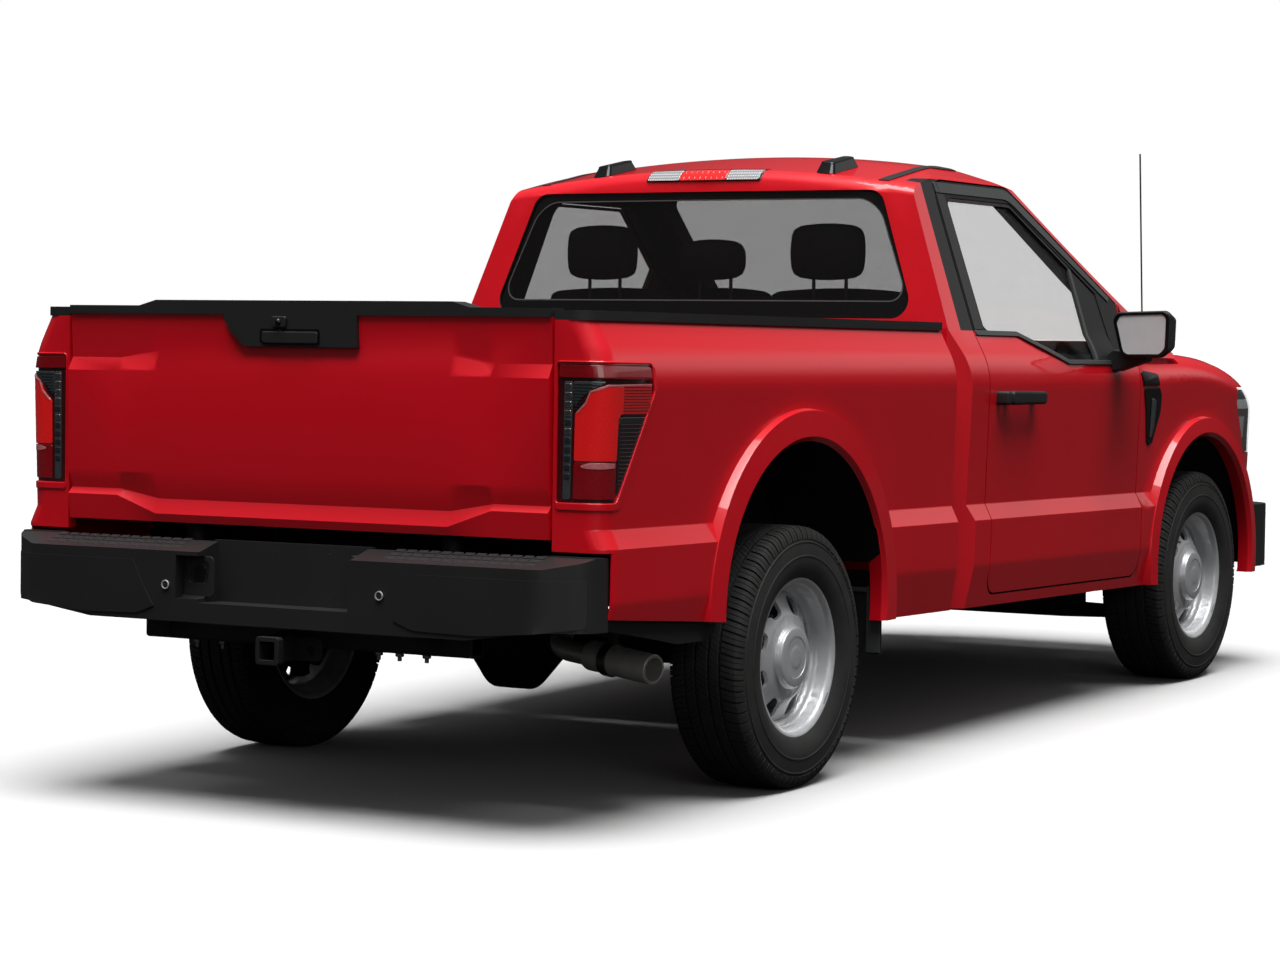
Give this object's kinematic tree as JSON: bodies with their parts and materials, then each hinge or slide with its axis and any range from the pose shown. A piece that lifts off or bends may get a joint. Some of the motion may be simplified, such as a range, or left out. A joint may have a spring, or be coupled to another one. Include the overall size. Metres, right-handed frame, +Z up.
{
  "type": "pickup truck",
  "caption": "Full-size regular-cab pickup truck with a long load box, opening doors, hood and tailgate, steered front wheels and a rear receiver hitch.",
  "frame": {"origin": "on the ground under the middle of the vehicle's bounding box", "axes": "+X forward, +Y to the left, +Z up"},
  "size_m": [5.3278, 2.43, 1.9325],
  "materials": {
    "body_paint": "gloss clear coat",
    "frame_paint": "satin chassis black",
    "black_trim": "grained",
    "gloss_trim": "polished",
    "window_glass": "tinted",
    "windshield_glass": "clear",
    "lamp_lens": "clear lens",
    "tail_lens": "red lens",
    "tyre_rubber": "moulded",
    "wheel_steel": "silver paint",
    "bare_steel": "machined",
    "exhaust_steel": "stainless",
    "engine_iron": "cast",
    "seat_cloth": "woven",
    "dash_plastic": "soft grain",
    "radiator_metal": "finned"
  },
  "bodies": {
    "root": {"ladder_frame": "frame_paint", "cab_shell": "body_paint", "roof_panel": "body_paint", "windshield": "windshield_glass", "rear_window": "window_glass", "dashboard": "dash_plastic", "bench_seat": "seat_cloth", "cowl_panel": "black_trim", "fender_left": "body_paint", "fender_right": "body_paint", "grille": "gloss_trim", "headlamps": "lamp_lens", "front_bumper": "black_trim", "radiator": "radiator_metal", "engine_block": "engine_iron", "box_floor": "body_paint", "box_side_left": "body_paint", "box_side_right": "body_paint", "box_rail_caps": "black_trim", "tail_lamps": "tail_lens", "rear_bumper": "black_trim", "hitch_receiver": "frame_paint", "exhaust": "exhaust_steel", "fuel_tank": "black_trim", "rear_axle": "frame_paint", "leaf_springs": "frame_paint", "drive_shaft": "bare_steel", "front_suspension": "frame_paint", "steering_rack": "bare_steel", "wheel_liners": "black_trim", "spare_wheel": "tyre_rubber", "antenna": "black_trim", "high_mount_lamp": "tail_lens"},
    "hood": {"hood": "body_paint"},
    "tailgate": {"tailgate": "body_paint", "tailgate_cap": "black_trim"},
    "door_left": {"door_left": "body_paint", "door_glass_left": "window_glass", "mirror_and_handle_left": "black_trim"},
    "door_right": {"door_right": "body_paint", "door_glass_right": "window_glass", "mirror_and_handle_right": "black_trim"},
    "steering_wheel": {"steering_wheel": "dash_plastic"},
    "knuckle_left": {"knuckle_left": "bare_steel"},
    "knuckle_right": {"knuckle_right": "bare_steel"},
    "wheel_front_left": {"rim_front_left": "wheel_steel", "tyre_front_left": "tyre_rubber"},
    "wheel_front_right": {"rim_front_right": "wheel_steel", "tyre_front_right": "tyre_rubber"},
    "wheel_rear_left": {"rim_rear_left": "wheel_steel", "tyre_rear_left": "tyre_rubber"},
    "wheel_rear_right": {"rim_rear_right": "wheel_steel", "tyre_rear_right": "tyre_rubber"}
  },
  "joints": [
    {"name": "hood_hinge", "type": "hinge", "parent": "root", "child": "hood", "pos_m": [1.57037, 0, 1.17329], "axis": [0, -1, 0], "range_deg": [0, 50]},
    {"name": "tailgate_hinge", "type": "hinge", "parent": "root", "child": "tailgate", "pos_m": [-2.48279, 0, 0.83033], "axis": [0, -1, 0], "range_deg": [0, 90]},
    {"name": "door_left_hinge", "type": "hinge", "parent": "root", "child": "door_left", "pos_m": [1.02464, 0.94, 0.8324], "axis": [-0.0279, 0, -0.9996], "range_deg": [0, 65]},
    {"name": "door_right_hinge", "type": "hinge", "parent": "root", "child": "door_right", "pos_m": [1.02464, -0.94, 0.8324], "axis": [0.0279, 0, 0.9996], "range_deg": [0, 65]},
    {"name": "steer_left", "type": "hinge", "parent": "root", "child": "knuckle_left", "pos_m": [1.7162, 0.745, 0.385], "axis": [0, 0, 1], "range_deg": [-32, 32]},
    {"name": "steer_right", "type": "hinge", "parent": "root", "child": "knuckle_right", "pos_m": [1.7162, -0.745, 0.385], "axis": [0, 0, 1], "range_deg": [-32, 32]},
    {"name": "steering_column", "type": "hinge", "parent": "root", "child": "steering_wheel", "pos_m": [0.73773, 0.37, 1.09051], "axis": [-0.9431, 0, 0.3325], "range_deg": [-544, 544]},
    {"name": "spin_front_left", "type": "hinge", "parent": "knuckle_left", "child": "wheel_front_left", "pos_m": [1.7162, 0.8585, 0.385], "axis": [0, 1, 0], "continuous": true},
    {"name": "spin_front_right", "type": "hinge", "parent": "knuckle_right", "child": "wheel_front_right", "pos_m": [1.7162, -0.8585, 0.385], "axis": [0, 1, 0], "continuous": true},
    {"name": "spin_rear_left", "type": "hinge", "parent": "root", "child": "wheel_rear_left", "pos_m": [-1.4028, 0.8675, 0.385], "axis": [0, 1, 0], "continuous": true},
    {"name": "spin_rear_right", "type": "hinge", "parent": "root", "child": "wheel_rear_right", "pos_m": [-1.4028, -0.8675, 0.385], "axis": [0, 1, 0], "continuous": true}
  ],
  "couplings": [
    {"joint": "steer_right", "follows": "steer_left", "ratio": 1},
    {"joint": "steering_column", "follows": "steer_left", "ratio": 17}
  ]
}
